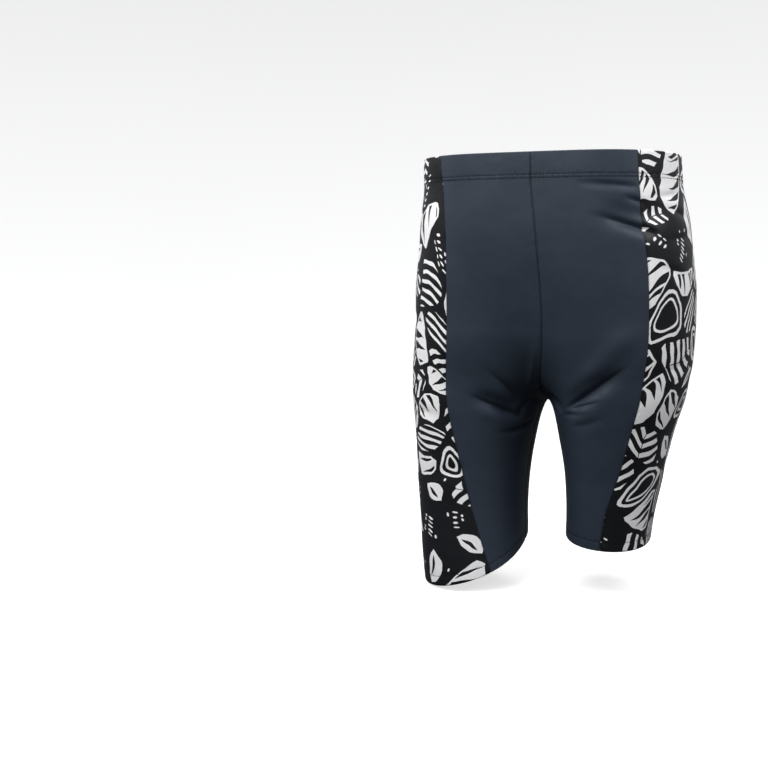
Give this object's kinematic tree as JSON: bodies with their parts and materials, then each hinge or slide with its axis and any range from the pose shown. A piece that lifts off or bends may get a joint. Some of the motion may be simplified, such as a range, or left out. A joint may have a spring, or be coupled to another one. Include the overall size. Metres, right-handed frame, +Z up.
{
  "type": "padded spandex cycling shorts",
  "caption": "Close-fitting padded stretch cycling shorts, navy front and back with black and white printed side panels, filled out and hollow.",
  "frame": {"origin": "middle of the waistband's ring, half way up the band, where a wearer's waist holds the shorts", "axes": "+Z up out of the waist, -Y to the front of the shorts, +X to the wearer's left"},
  "size_m": [0.2904, 0.2136, 0.4344],
  "materials": {
    "front_back_cloth": "satin",
    "printed_cloth": "satin",
    "waistband": "satin",
    "pad": "matte"
  },
  "bodies": {
    "root": {"waistband": "waistband", "front_left": "front_back_cloth", "front_right": "front_back_cloth", "side_left": "printed_cloth", "side_right": "printed_cloth", "back_left": "front_back_cloth", "back_right": "front_back_cloth", "seat_pad": "pad"}
  },
  "joints": []
}
